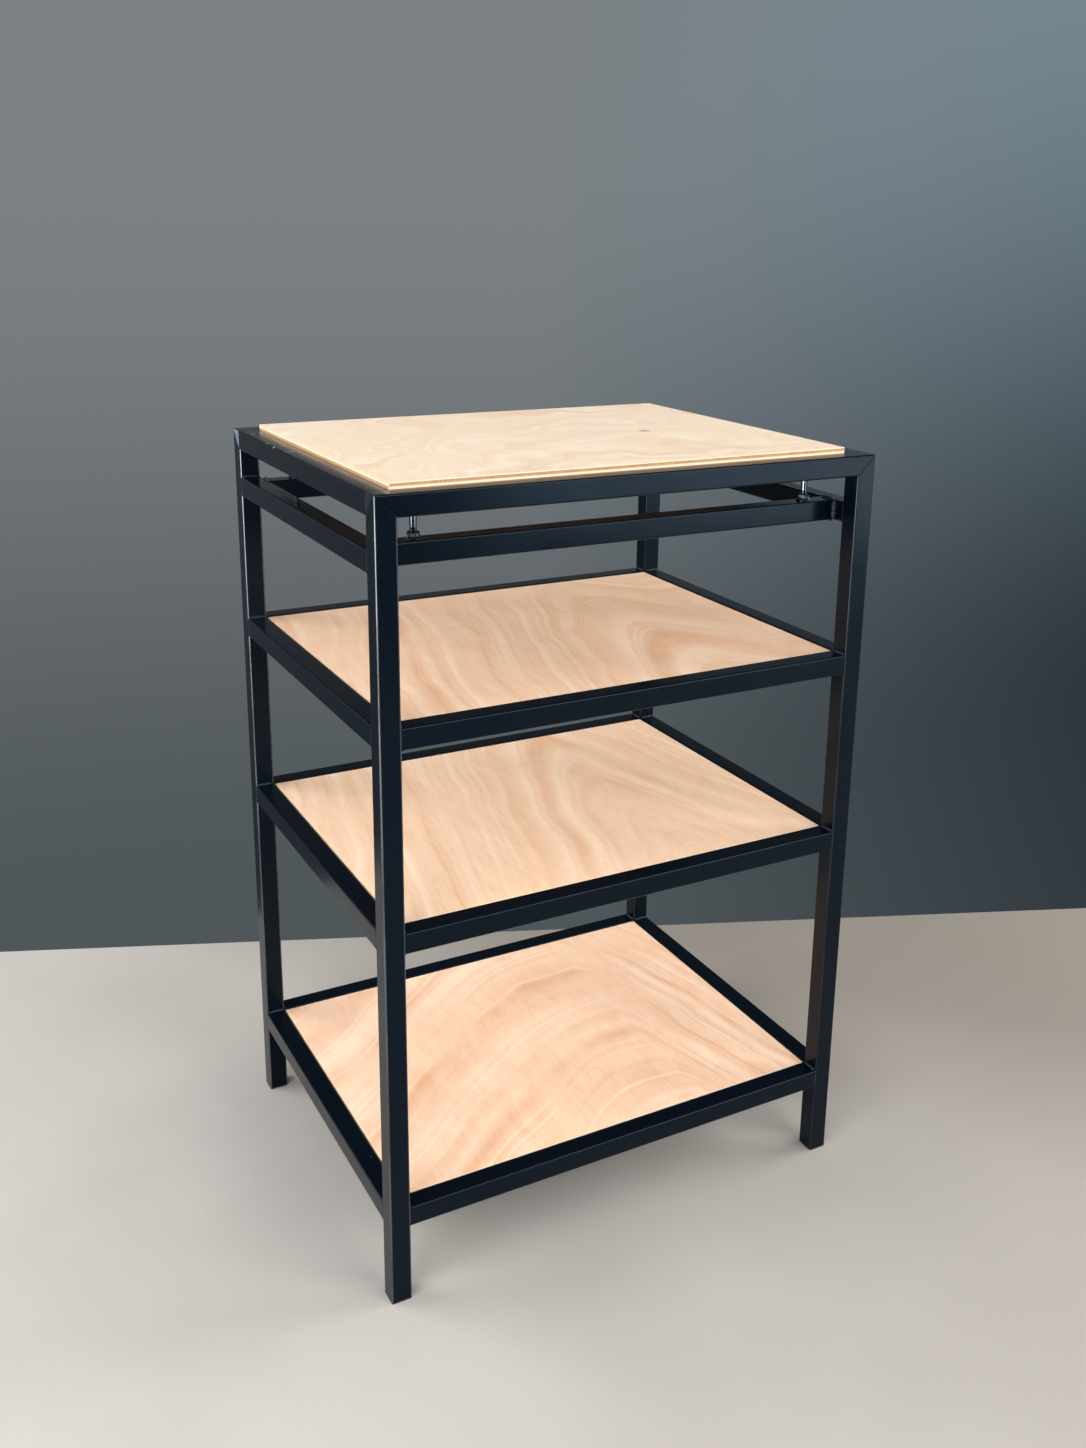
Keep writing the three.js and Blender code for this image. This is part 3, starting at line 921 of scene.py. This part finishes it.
def weld_rail_end(bm, along, sx, sy, top, fill_inside=False):
    """Welds one end of a rail to a leg. The rail runs along x or y from the leg at sx, sy."""
    a = 0 if along == "x" else 1
    b = 1 - a
    signs = (sx, sy)
    inner = (INNER_X, INNER_Y)
    outer = (HALF_WIDTH, HALF_DEPTH)
    seam = signs[a] * (inner[a] - SUNK)
    for height in (top + SUNK, top - TUBE - SUNK):
        ends = []
        for reach in (inner[b] + FILLET_INSET, outer[b] - FILLET_INSET):
            point = Vector((0, 0, height))
            point[a], point[b] = seam, signs[b] * reach
            ends.append(point)
        bead(bm, ends[0], ends[1], FILLET)
    groove = Vector((0, 0, top - HALF_TUBE))
    groove[a] = signs[a] * (inner[a] + INTO_JOINT)
    groove[b] = signs[b] * (outer[b] - BUTT_FILL - GROUND_BELOW)
    seam_fill(bm, groove, "z", FILL_LENGTH)
    if fill_inside:
        groove[b] = signs[b] * (inner[b] + BUTT_FILL + GROUND_BELOW)
        seam_fill(bm, groove, "z", FILL_LENGTH, blobs=False)


def finish_weld(bm, name):
    """Makes one piece of all the beads of a level, smooth all over."""
    print(name, "triangles:", sum(len(face.verts) - 2 for face in bm.faces))
    finish_piece(
        bm, name, "frame", [weld_black], weighted=False, sharp=math.pi)


for level in SHELVES:
    welds = bmesh.new()
    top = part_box(f"{level}_rail_front")[1].z
    under_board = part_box(f"{level}_board")[0].z
    for *_, sx, sy in CORNERS:
        weld_rail_end(welds, "x", sx, sy, top)
        weld_rail_end(welds, "y", sx, sy, top)
        x, y = sx * (INNER_X - SUNK), sy * (INNER_Y - SUNK)
        if level == "lower":
            bead(welds, (x, y, top - TUBE + 1 * MM), (x, y, under_board - BELOW_BOARD), FILLET)
    for end, side, sx, _ in CORNERS:
        low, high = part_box(f"{level}_tab_{end}_{side}")
        x, z = sx * (INNER_X - AT_TAB), low.z - AT_TAB
        bead(welds, (x, low.y + TAB_INSET, z), (x, high.y - TAB_INSET, z), TAB_WELD)
    finish_weld(welds, f"weld_{level}_level")

welds = bmesh.new()
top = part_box("lift_rail_left")[1].z
for end, _, sx, sy in CORNERS:
    low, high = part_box(f"cross_rail_{end}")
    weld_rail_end(welds, "y", sx, sy, top, fill_inside=True)
    x = sx * (INNER_X - SUNK)
    for y in (low.y - SUNK, high.y + SUNK):
        bead(welds, (x, y, low.z + 1.5 * MM), (x, y, high.z - 1 * MM), HEAVY_FILLET, 0.13)
    for z in (low.z - SUNK, high.z + SUNK):
        bead(welds, (x, low.y + 2 * MM, z), (x, high.y - 2 * MM, z), FILLET)
finish_weld(welds, "weld_lift_level")

welds = bmesh.new()
low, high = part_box("top_rail_left")
for *_, sx, sy in CORNERS:
    x, y = sx * (HALF_WIDTH - HALF_TUBE), sy * (INNER_Y + INTO_JOINT)
    side_groove = sx * (HALF_WIDTH - BUTT_FILL - GROUND_BELOW)
    seam_fill(welds, Vector((side_groove, y, high.z - HALF_TUBE)), "z", FILL_LENGTH)
    top_groove = high.z - BUTT_FILL - GROUND_BELOW
    seam_fill(welds, Vector((x, y, top_groove)), "x", TUBE - 4 * MM, blobs=False)
    x_in, y_in = sx * (INNER_X - SUNK), sy * (INNER_Y - SUNK)
    bead(welds, (x_in, y_in, low.z + 1 * MM), (x_in, y_in, high.z - 8 * MM), FILLET)
    ends = [
        (sx * reach, y_in, low.z - SUNK)
        for reach in (INNER_X + FILLET_INSET, HALF_WIDTH - FILLET_INSET)]
    bead(welds, *ends, FILLET)
finish_weld(welds, "weld_top_level")

# %% [markdown]
# ## The plywood boards
#
# A board is a sheet with its sharp arrises sanded off. A striped texture could stand for the
# plies, but real bands on the edge stay crisp close up. So planes cut the side faces at every glue
# line, and each band gets its own material by its height. Which plies look brown depends on the
# way the edge faces, since their grain is crossed. The thin outer plies never go darker than tan.

# %% Cut the boards
PLIES = [ply * MM for ply in (1.3, 2.9, 3.6, 2.9, 1.3)]
GLUE_LINE = 0.5 * MM
ARRIS = 0.5 * MM
FACE, ALONG, ACROSS, GLUE, SANDED, OUTER, BACK = range(7)


def ply_material(face, top):
    """The index of the material that a face of a board shows."""
    normal, centre = face.normal, face.calc_center_median()
    if abs(normal.z) > 0.99:
        return FACE if normal.z > 0 else BACK
    if max(abs(normal.x), abs(normal.y)) < 0.99:
        return SANDED
    depth = top - centre.z
    for number, ply in enumerate(PLIES):
        if abs(depth) < GLUE_LINE / 2 and number:
            return GLUE
        if depth < ply - GLUE_LINE / 2:
            crossed = number % 2 == 1
            if crossed == (abs(normal.y) < 0.5):
                return ALONG
            return OUTER if number in (0, len(PLIES) - 1) else ACROSS
        depth -= ply
    return ALONG


def cut_board(level):
    """A board of the rack, with its plies and glue lines as bands on its edges."""
    low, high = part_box(f"{level}_board")
    bm = bmesh.new()
    size = high - low
    bmesh.ops.create_cube(
        bm, size=1, matrix=Matrix.Translation((low + high) / 2) @ Matrix.Diagonal((*size, 1)))
    bmesh.ops.bevel(
        bm, geom=bm.edges[:], offset=ARRIS, offset_type="OFFSET", segments=2,
        profile=0.5, affect="EDGES", material=-1)
    line = high.z
    for ply in PLIES[:-1]:
        line -= ply
        for height in (line + GLUE_LINE / 2, line - GLUE_LINE / 2):
            plane_cut(bm, (0, 0, height), (0, 0, 1))
    for face in bm.faces:
        face.material_index = ply_material(face, high.z)
    return bm


BOARD_BODIES = {
    "lower": "lower_shelf", "middle": "middle_shelf", "upper": "upper_shelf", "top": "top"}
for level, body in BOARD_BODIES.items():
    board = cut_board(level)
    counts = [sum(f.material_index == i for f in board.faces) for i in range(BACK + 1)]
    print(f"{level} board faces by material:", counts, "open edges:", open_edges(board))
    finish_piece(
        board, f"plywood_{level}_board", body,
        [faces[level], *edge_materials.values(), underside_shade], [f"{level}_board"])

# %% [markdown]
# ## The pointed rods
#
# Each rod is M8 threaded rod, turned to a point at the top. A thread is one small tooth carried
# round and up at once, by 1.25 mm a turn. That is exactly what a spin with a step does: four
# points spin many times while each step lifts them, and merging the seams closes the helix.
#
# Only the lower part is threaded, as far as the nut ever travels. A plane cuts the helix
# square there, and bridges carry it on into the smooth turned shank and its cone.

# %% Thread and turn the rods
PITCH = 1.25 * MM
CREST = 3.96 * MM
ROOT = 3.27 * MM
THREAD_STEPS = 24
LOOP_POINTS = 24
THREAD_LENGTH = 27.4 * MM
SHANK = 3.95 * MM
POINT = 6 * MM
TIP = 0.8 * MM
END_CHAMFER = 0.7 * MM
THREAD_SNAP = SNAP / 10


def loop(bm, x, y, height, radius, points=LOOP_POINTS):
    """A ring of edges. A hexagon's sides are divided until it has as many points as a circle."""
    edges = ring_of_edges(
        bm, radius, points,
        Matrix.Translation((x, y, height)) @ Matrix.Rotation(math.radians(90), 4, "Z"))
    if points < LOOP_POINTS:
        divided = bmesh.ops.subdivide_edges(bm, edges=edges, cuts=LOOP_POINTS // points - 1)
        edges = only(BMEdge, divided["geom"])
    return edges


def loops(bm, x, y, profile):
    """A ring of edges for each height and radius of a profile."""
    return [loop(bm, x, y, *step) for step in profile]


def bridge_stack(bm, stack):
    """Joins each ring of edges to the next."""
    for lower, upper in zip(stack, stack[1:]):
        bmesh.ops.bridge_loops(bm, edges=lower + upper)


def turn_rod(low, high):
    """A rod with a threaded foot, a smooth shank and a cone point, between two heights."""
    x, y = (low.x + high.x) / 2, (low.y + high.y) / 2
    turns = math.ceil(THREAD_LENGTH / PITCH) + 2
    bm = bmesh.new()
    tooth = [
        bm.verts.new((x + radius, y, low.z - PITCH + PITCH * share))
        for radius, share in ((ROOT, 0.0), (CREST, 0.44), (CREST, 0.56), (ROOT, 1.0))]
    flank = [bm.edges.new(pair) for pair in zip(tooth, tooth[1:])]
    bmesh.ops.spin(
        bm, geom=tooth + flank, cent=(x, y, 0), axis=(0, 0, 1),
        dvec=(0, 0, PITCH / THREAD_STEPS), angle=2 * math.pi * turns,
        steps=THREAD_STEPS * turns, use_merge=False)
    bmesh.ops.remove_doubles(bm, verts=bm.verts[:], dist=TOUCH)
    foot, thread_end = (
        plane_cut(bm, (x, y, height), (0, 0, up), dist=THREAD_SNAP, clear_outer=True)
        for height, up in ((low.z + END_CHAMFER, -1), (low.z + THREAD_LENGTH, 1)))
    bridge_stack(bm, [foot] + loops(bm, x, y, [
        (low.z + END_CHAMFER / 2, ROOT - 0.1 * MM), (low.z, ROOT - 0.5 * MM)]))
    shoulder, cone = low.z + THREAD_LENGTH, high.z - POINT
    bridge_stack(bm, [thread_end] + loops(bm, x, y, [
        (shoulder + 0.2 * MM, ROOT), (shoulder + 0.5 * MM, ROOT),
        (shoulder + 0.8 * MM, SHANK - 0.2 * MM), (shoulder + 1.0 * MM, SHANK),
        (cone - 0.2 * MM, SHANK), (cone + 0.2 * MM, SHANK - 0.1 * MM),
        (high.z - 0.4 * MM, TIP + 0.1 * MM), (high.z, TIP - 0.3 * MM)]))
    bmesh.ops.holes_fill(bm, edges=[e for e in bm.edges if len(e.link_faces) == 1], sides=0)
    return bm


for end, side, *_ in CORNERS:
    node = f"spike_{end}_{side}"
    rod = turn_rod(*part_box(node))
    print(node, "faces:", len(rod.faces), "open edges:", open_edges(rod))
    finish_piece(
        rod, f"turned_{node}", f"rod_{end}_{side}",
        [bright_zinc], [node], weighted=False)

# %% [markdown]
# ## The flange nuts
#
# A flange nut is forged in one piece: a hexagon that runs out into a round sloping washer. Its top
# is turned to a shallow cone, so each flat ends in an arc.
#
# It can be built as a closed stack of loops, each with 24 points, joined by bridges: up the
# outside, in over the top, and down the bore. A hexagon drawn with four points to a side bridges
# cleanly to a circle. First each point of the hexagon's rim drops as far as it lies outside the
# cone, which draws the arcs.

# %% Build the nuts
NUT_SIDES = 6
FLANGE_RADIUS = 8.95 * MM
FLANGE_EDGE = 1.2 * MM
FLANGE_SLOPE = 2.4 * MM
ACROSS_FLATS = 13 * MM
CORNER = ACROSS_FLATS / 2 / math.cos(math.pi / NUT_SIDES)
TOP_CIRCLE = 5.6 * MM
CONE_SLOPE = math.tan(math.radians(30))
NUT_BORE = 4.05 * MM
NUT_HEIGHT = 8 * MM
BREAK = 0.5 * MM
BORE_CHAMFER = 0.4 * MM
FLANGE_ROUND = 0.3 * MM


def forge_nut(x, y, seat):
    """A flange nut round an upright line, with its underside at a height."""
    bm = bmesh.new()
    shoulder, top = seat + FLANGE_EDGE + FLANGE_SLOPE, seat + NUT_HEIGHT
    crown = loop(bm, x, y, top, CORNER, NUT_SIDES)
    for vert in {vert for edge in crown for vert in edge.verts}:
        beyond = math.hypot(vert.co.x - x, vert.co.y - y) - TOP_CIRCLE
        vert.co.z -= beyond * CONE_SLOPE
    outside = loops(bm, x, y, [
        (seat, NUT_BORE + BORE_CHAMFER), (seat, FLANGE_RADIUS - FLANGE_ROUND),
        (seat + FLANGE_ROUND, FLANGE_RADIUS), (seat + FLANGE_EDGE, FLANGE_RADIUS),
        (seat + FLANGE_EDGE + 0.25 * MM, FLANGE_RADIUS - FLANGE_ROUND),
        (shoulder, CORNER, NUT_SIDES)])
    inside = loops(bm, x, y, [
        (top, TOP_CIRCLE), (top, NUT_BORE + BREAK), (top - BREAK, NUT_BORE),
        (seat + BORE_CHAMFER, NUT_BORE)])
    bridge_stack(bm, [*outside, crown, *inside, outside[0]])
    return bm


for end, side, *_ in CORNERS:
    node = f"spike_nut_{end}_{side}"
    low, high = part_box(node)
    nut = forge_nut((low.x + high.x) / 2, (low.y + high.y) / 2, low.z)
    print(node, "faces:", len(nut.faces), "open edges:", open_edges(nut))
    finish_piece(
        nut, f"forged_{node}", f"nut_{end}_{side}", [oxide_black], [node])

# %% [markdown]
# ## Tabs and plugs
#
# The tabs under the boards and the plugs under the legs already have their right shape in the
# measured model, so they stay, and only get their finish.

# %% Finish the tabs and plugs
for node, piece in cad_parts.items():
    if "_tab_" in node:
        piece.material_slots[0].material = satin_black
    elif node.startswith("plug_"):
        piece.material_slots[0].material = plug_plastic
print("kept nodes:", sum(not piece.hide_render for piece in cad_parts.values()))

# %% [markdown]
# ## Floor and backdrop
#
# The rack stands on a pale smooth floor that ends at a straight line behind it, as a floor ends at
# a wall. The floor's colour is painted darker to the right, and more so far back on the right:
# painted shade for light that falls off away from the left, and for the rack's soft shadow. Past
# its edge there is no object at all, only the world's colour, so the rack can be looked at from
# behind too.
#
# The world does two jobs, and a Light Path node keeps them apart. What the camera sees, in
# the open and in gloss, is a grey backdrop, darker low down, on the right and overhead. What
# lights the rack is a plain even grey.

# %% Lay the floor and hang the backdrop
FLOOR_LINE = ((-0.611, 0.822), (1.197, 0.079))
FLOOR_WIDTH = 6.0
FLOOR_DEPTH = 2.8
FLOOR_GRAIN = 350.0
FLOOR_CLOUD = 2.5
FLOOR_SHADE = "#aaa59e"
FLOOR_PALE = "#bab5ae"
# Painted shade: the floor is mixed towards the first of these to the right, and towards the second
# far back on the right.
FLOOR_PAINTED_FALLOFF = "#837c73"
FLOOR_PAINTED_SHADOW = "#766f66"

floor_left, floor_right = (Vector((*point, 0)) for point in FLOOR_LINE)
line = floor_right - floor_left
middle = (floor_left + floor_right) / 2

floor_bm = bmesh.new()
bmesh.ops.create_grid(
    floor_bm, x_segments=1, y_segments=1, size=0.5,
    matrix=Matrix.Translation(middle) @ Matrix.Rotation(math.atan2(line.y, line.x), 4, "Z")
    @ Matrix.Translation((0, -FLOOR_DEPTH / 2, 0))
    @ Matrix.Diagonal((FLOOR_WIDTH, FLOOR_DEPTH, 1, 1)))
floor_mesh = as_mesh(floor_bm, "floor")
floor = add_object("floor", floor_mesh)

floor_paint, add, place = new_material("pale_sealed_floor")
grain = add("TexNoise", {"Vector": place, "Scale": FLOOR_GRAIN, "Detail": 2.0})
cloud = add("TexNoise", {"Vector": place, "Scale": FLOOR_CLOUD, "Detail": 3.0})
both = add("Math", {0: grain, 1: 0.5, 2: cloud}, operation="MULTIPLY_ADD")
shade = add("MapRange", {0: both, 1: 0.45, 2: 1.05})
across = add("SeparateXYZ", {0: place})
# Painted shade: these two masks darken the floor to the right and far back on the right, for light
# falling off from the left and the rack's soft shadow.
painted_falloff = add("MapRange", {0: across.outputs["X"], 1: -0.5, 2: 0.9, 3: 0.0, 4: 0.7})
slant = add("Math", {
    0: across.outputs["Y"], 1: 0.8, 2: across.outputs["X"]}, operation="MULTIPLY_ADD")
dull = add("MapRange", {0: slant, 1: 0.2, 2: 0.7, 3: 0.0, 4: 0.6})
colour = linear(FLOOR_SHADE)
for share, over in ((shade, FLOOR_PALE), (painted_falloff, FLOOR_PAINTED_FALLOFF), (dull, FLOOR_PAINTED_SHADOW)):
    colour = add("Mix", {0: share, 6: colour, 7: linear(over)}, data_type="RGBA")
paint = add("BsdfPrincipled", {
    "Base Color": colour, "Roughness": 0.55, "Specular IOR Level": 0.25})
add("OutputMaterial", {"Surface": paint})
floor_mesh.materials.append(floor_paint)

# The backdrop's colours at the left and at the right.
BACKDROP_LOW = ("#50575b", "#2c343a")
BACKDROP_HIGH = ("#7c8184", "#768892")
BACKDROP_OVERHEAD = "#464c51"
EVEN_LIGHT = 0.22

world = bpy.data.worlds.new("studio")
world.use_nodes = True
world.node_tree.nodes.clear()
add = partial(add_node, world.node_tree)
axes = add("SeparateXYZ", {0: add("TexCoord").outputs["Generated"]})
to_right = add("MapRange", {0: axes.outputs["X"], 1: 0.45, 2: 0.75})
lowered = add("Math", {0: to_right, 1: -0.15, 2: axes.outputs["Z"]}, operation="MULTIPLY_ADD")
rise = add("MapRange", {0: lowered, 1: -0.46, 2: 0.05}, interpolation_type="SMOOTHSTEP")
low, high = (
    add("Mix", {0: to_right, 6: linear(left), 7: linear(right)}, data_type="RGBA")
    for left, right in (BACKDROP_LOW, BACKDROP_HIGH))
overhead = add("MapRange", {0: axes.outputs["Z"], 1: 0.15, 2: 0.4})
backdrop = low
for share, over in ((rise, high), (overhead, linear(BACKDROP_OVERHEAD))):
    backdrop = add("Mix", {0: share, 6: backdrop, 7: over}, data_type="RGBA")
path = add("LightPath")
seen = path.outputs["Is Camera Ray"]
for ray in ("Is Glossy Ray", "Is Transmission Ray"):
    seen = add("Math", {0: seen, 1: path.outputs[ray]}, operation="MAXIMUM")
light = add("Mix", {
    0: seen, 6: (EVEN_LIGHT, EVEN_LIGHT, EVEN_LIGHT * 1.02, 1), 7: backdrop}, data_type="RGBA")
add("OutputWorld", {"Surface": add("Background", {"Color": light, "Strength": 1.0})})
bpy.context.scene.world = world
print("floor ends", round(floor_left.length, 2), "m away on the left")

# %% [markdown]
# ## Soft lamps
#
# Six area lamps stand in for a ceiling light and the windows around the room. They are large, so
# the shadow under the rack is soft.
#
# A seventh lamp is only there for gloss. It lights no dull surface, and its reflection is the
# thin bright line down the rounded corner of the front left leg.

# %% Place the lamps
def softbox(name, place, aim, width, height, power, colour="#ffffff"):
    """A rectangular area lamp that points at a place on the rack."""
    lamp = bpy.data.lights.new(name, "AREA")
    lamp.shape = "RECTANGLE"
    lamp.size, lamp.size_y = width, height
    lamp.energy = power
    lamp.color = linear(colour)[:3]
    holder = add_object(name, lamp)
    holder.location = place
    holder.rotation_euler = (Vector(aim) - Vector(place)).to_track_quat("-Z", "Y").to_euler()
    holder.visible_camera = False
    return holder


softbox("ceiling", (0.0, 0.2, 3.2), (0, 0, 0.6), 2.4, 2.4, 13)
softbox("left_window", (-2.3, -1.5, 1.6), (0, 0, 0.5), 2.0, 1.6, 80, "#f3f7ff")
softbox("front_window", (1.1, -3.0, 1.7), (0, 0, 0.5), 2.4, 1.6, 92)
softbox("back_window", (-2.2, 1.3, 1.7), (0, 0, 0.5), 1.8, 1.4, 60)
softbox("right_window", (2.6, -0.6, 1.5), (0, 0, 0.5), 1.6, 1.4, 66)
softbox("right_fill", (2.7, -3.4, 0.4), (0, 0, 0.5), 2.6, 0.8, 32)
edge_light = softbox("edge_light", (-2.6, -1.5, 0.9), (-0.3, -0.25, 0.9), 1.7, 1.8, 175)
edge_light.visible_diffuse = False

# %% [markdown]
# ## The camera
#
# The photograph was taken by hand from about chest height, close in, and a little off level. The
# place, the turn and the lens below put the model's corners on the photograph's. The picture was
# cropped afterwards, so its middle isn't the lens's middle, and the shift makes up for that.

# %% Set up the camera
PICTURE_WIDTH, PICTURE_HEIGHT = 1086, 1448
CAMERA_PLACE = Vector((-0.80046, -1.53259, 1.22396))
YAW, PITCH_DOWN, ROLL = (math.radians(angle) for angle in (29.0454, 15.7899, 0.9651))
FOCAL_PIXELS = 1401.14
CENTRE_X, CENTRE_Y = 575.97, 615.94
SENSOR = 36

lens = bpy.data.cameras.new("camera")
lens.sensor_width = SENSOR
lens.lens = FOCAL_PIXELS * SENSOR / PICTURE_HEIGHT
lens.shift_x = (PICTURE_WIDTH / 2 - CENTRE_X) / PICTURE_HEIGHT
lens.shift_y = (CENTRE_Y - PICTURE_HEIGHT / 2) / PICTURE_HEIGHT
lens.clip_start, lens.clip_end = 0.05, 50
camera = add_object("camera", lens)
camera.matrix_world = (
    Matrix.Translation(CAMERA_PLACE) @ Matrix.Rotation(-YAW, 4, "Z")
    @ Matrix.Rotation(math.radians(90) - PITCH_DOWN, 4, "X") @ Matrix.Rotation(ROLL, 4, "Z"))
bpy.context.scene.camera = camera
bpy.context.scene.view_settings.view_transform = "Standard"
print("lens:", round(lens.lens, 2), "mm, shift:", round(lens.shift_x, 4), round(lens.shift_y, 4))
